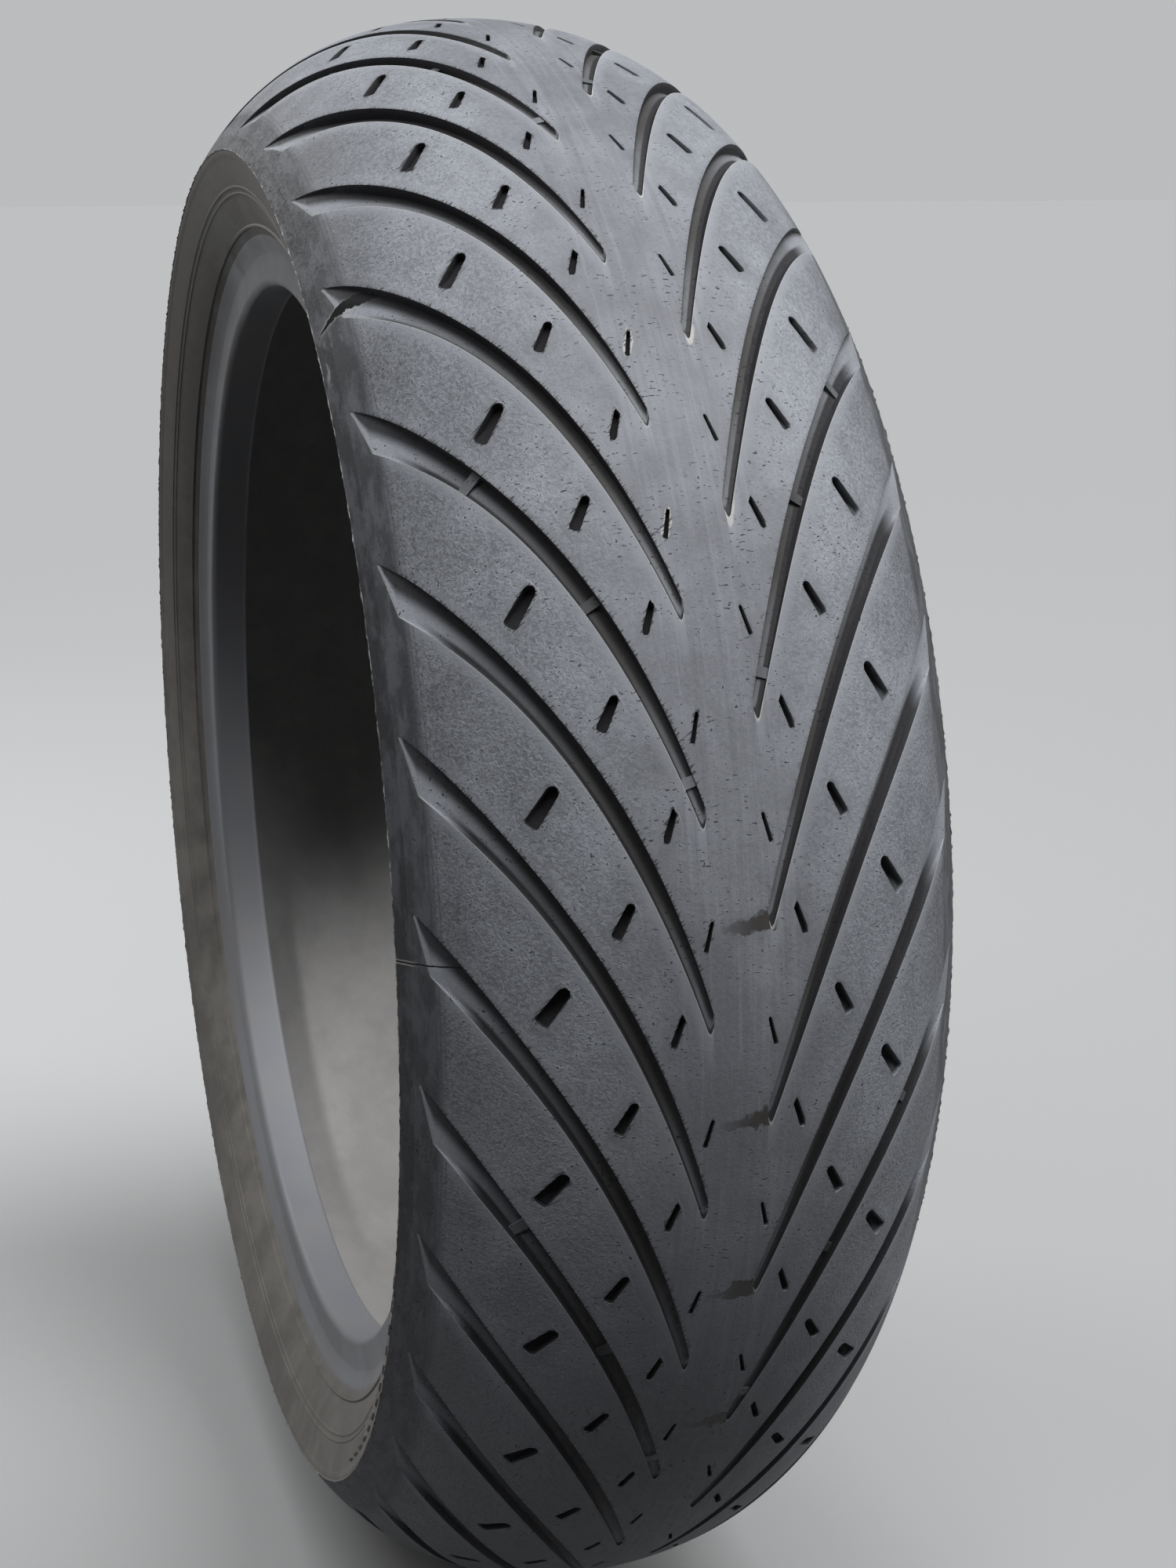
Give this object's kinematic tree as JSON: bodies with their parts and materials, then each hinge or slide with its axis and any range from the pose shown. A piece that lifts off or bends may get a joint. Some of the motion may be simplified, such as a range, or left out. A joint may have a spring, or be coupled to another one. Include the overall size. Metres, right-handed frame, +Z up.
{
  "type": "motorcycle tire",
  "caption": "Tubeless radial rear motorcycle tyre: round crown with long curved grooves and rows of short sipes, open inside, with beads that seat on a drop-centre rim.",
  "frame": {"origin": "wheel centre: on the spin axis, half way between the two beads", "axes": "+Y along the spin axis towards the right side, +Z up, +X towards the side seen in the picture"},
  "size_m": [0.6409, 0.19, 0.6408],
  "materials": {
    "tread_centre_rubber": "matte grey-black worn tread rubber with fine running streaks",
    "tread_side_rubber": "matte grey-black tread rubber with fine pebbled wear grain",
    "wing_rubber": "smoother dark rubber along the tread edge",
    "base_rubber": "black base and cushion rubber, hidden",
    "belt_cord": "steel cords in rubber, hidden",
    "ply_fabric": "rubbered textile cord, hidden",
    "liner_rubber": "smooth grey airtight liner",
    "bead_wire": "bronze coated steel wire, hidden",
    "bead_rubber": "hard black bead rubber, hidden",
    "chafer_rubber": "smooth dark bead rubber with a slight sheen",
    "sidewall_rubber": "dusty dark sidewall rubber"
  },
  "bodies": {
    "root": {"tread_cap_centre": "tread_centre_rubber", "tread_cap_left": "tread_side_rubber", "tread_cap_right": "tread_side_rubber", "tread_wing_left": "wing_rubber", "tread_wing_right": "wing_rubber", "tread_base": "base_rubber", "zero_degree_belt": "belt_cord", "belt_edge_strip_left": "base_rubber", "belt_edge_strip_right": "base_rubber", "carcass_ply_outer": "ply_fabric", "carcass_ply_inner": "ply_fabric", "inner_liner": "liner_rubber", "bead_wires_left": "bead_wire", "bead_wires_right": "bead_wire", "bead_wrap_left": "bead_rubber", "bead_wrap_right": "bead_rubber", "bead_filler_left": "bead_rubber", "bead_filler_right": "bead_rubber", "chafer_left": "chafer_rubber", "chafer_right": "chafer_rubber", "sidewall_left": "sidewall_rubber", "sidewall_right": "sidewall_rubber"}
  },
  "joints": []
}
